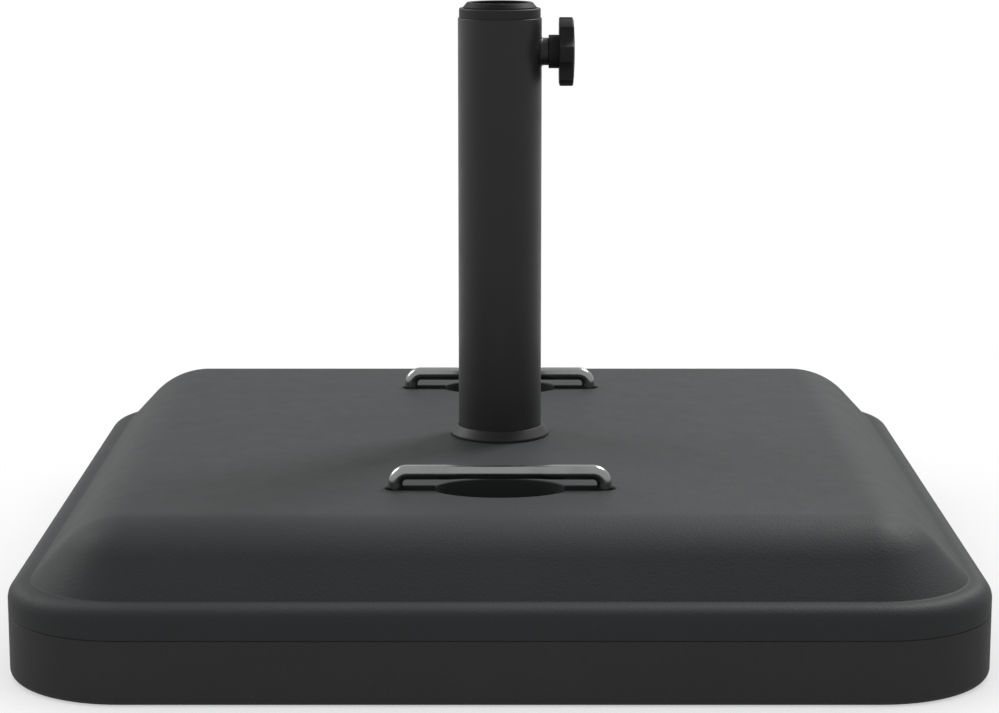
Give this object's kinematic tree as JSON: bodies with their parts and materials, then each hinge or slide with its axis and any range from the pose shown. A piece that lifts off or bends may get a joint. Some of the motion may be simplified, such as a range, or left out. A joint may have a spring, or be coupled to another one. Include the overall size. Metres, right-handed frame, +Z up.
{
  "type": "parasol base",
  "caption": "Square weighted parasol base: pillow-shaped plastic shell over a concrete block, upright pole tube with side clamp knob and reducer ring, and lift-up bar handles.",
  "frame": {"origin": "middle of the underside, on the ground", "axes": "+Z up along the pole tube, +X towards the clamp knob, the bar handles lie along X at -Y (front) and +Y (rear)"},
  "size_m": [0.51, 0.51, 0.335],
  "materials": {
    "shell_plastic": "fine-grained moulded plastic",
    "tray_plastic": "fine-grained moulded plastic",
    "concrete": "cast concrete",
    "tube_paint": "satin powder coat",
    "collar_plastic": "satin moulded plastic",
    "knob_plastic": "satin moulded plastic",
    "handle_steel": "polished stainless steel",
    "zinc_steel": "zinc plated",
    "plain_steel": "plain welded steel",
    "guide_plastic": "satin moulded plastic",
    "tip_plastic": "natural nylon"
  },
  "bodies": {
    "base": {"bottom_tray": "tray_plastic", "top_shell": "shell_plastic", "concrete_fill": "concrete", "shell_screws": "zinc_steel", "handle_guides_front": "guide_plastic", "handle_guides_rear": "guide_plastic", "upright_tube": "tube_paint", "tube_trim_ring": "collar_plastic", "tube_end_plate": "plain_steel", "weld_nut": "plain_steel", "centre_bolt": "zinc_steel", "bolt_washer": "zinc_steel", "lock_washer": "zinc_steel", "top_collar": "collar_plastic", "clamp_boss": "tube_paint"},
    "handle_front": {"handle_front": "handle_steel", "handle_washers_front": "zinc_steel", "handle_nuts_front": "zinc_steel"},
    "handle_rear": {"handle_rear": "handle_steel", "handle_washers_rear": "zinc_steel", "handle_nuts_rear": "zinc_steel"},
    "reducer_ring": {"reducer_ring": "collar_plastic"},
    "clamp_tip": {"clamp_tip": "tip_plastic"},
    "clamp_screw": {"clamp_screw": "zinc_steel", "clamp_knob": "knob_plastic"}
  },
  "joints": [
    {"name": "handle_front_lift", "type": "slide", "parent": "base", "child": "handle_front", "axis": [0, 0, 1], "range_m": [0, 0.028]},
    {"name": "handle_rear_lift", "type": "slide", "parent": "base", "child": "handle_rear", "axis": [0, 0, 1], "range_m": [0, 0.028]},
    {"name": "reducer_lift", "type": "slide", "parent": "base", "child": "reducer_ring", "axis": [0, 0, 1], "range_m": [0, 0.03]},
    {"name": "clamp_travel", "type": "slide", "parent": "base", "child": "clamp_tip", "axis": [1, 0, 0], "range_m": [0, 0.005]},
    {"name": "clamp_turn", "type": "hinge", "parent": "clamp_tip", "child": "clamp_screw", "pos_m": [0, 0, 0.307], "axis": [1, 0, 0], "range_deg": [0, 1440]}
  ],
  "couplings": [
    {"joint": "clamp_travel", "follows": "clamp_turn", "m_per_rad": 0.00019894}
  ]
}
